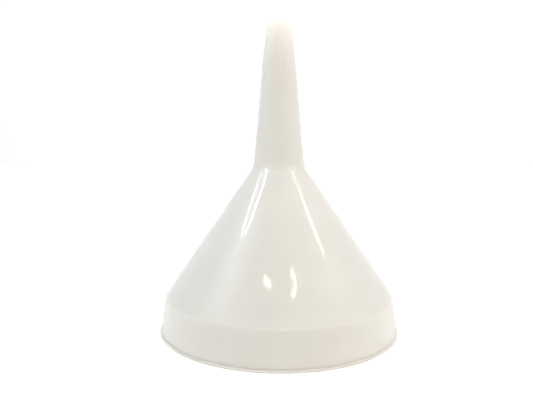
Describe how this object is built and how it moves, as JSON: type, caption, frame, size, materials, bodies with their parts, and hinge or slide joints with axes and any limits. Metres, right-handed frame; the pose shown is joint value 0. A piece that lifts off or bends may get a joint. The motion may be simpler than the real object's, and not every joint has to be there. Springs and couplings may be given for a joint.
{
  "type": "funnel",
  "caption": "Long-spout kitchen funnel moulded in milky translucent plastic, with a wide cone, a short upright collar and a thin rim flange it can stand on.",
  "frame": {"origin": "centre of the rim, on the surface that the funnel stands on", "axes": "+Z along the funnel's axis from the wide mouth to the tip of the spout; +X and +Y across the mouth"},
  "size_m": [0.2, 0.2, 0.2546],
  "materials": {
    "natural_plastic": "unpigmented injection-moulded polypropylene: milky, translucent, semi-gloss"
  },
  "bodies": {
    "root": {"rim_flange": "natural_plastic", "collar": "natural_plastic", "cone": "natural_plastic", "spout": "natural_plastic"}
  },
  "joints": []
}
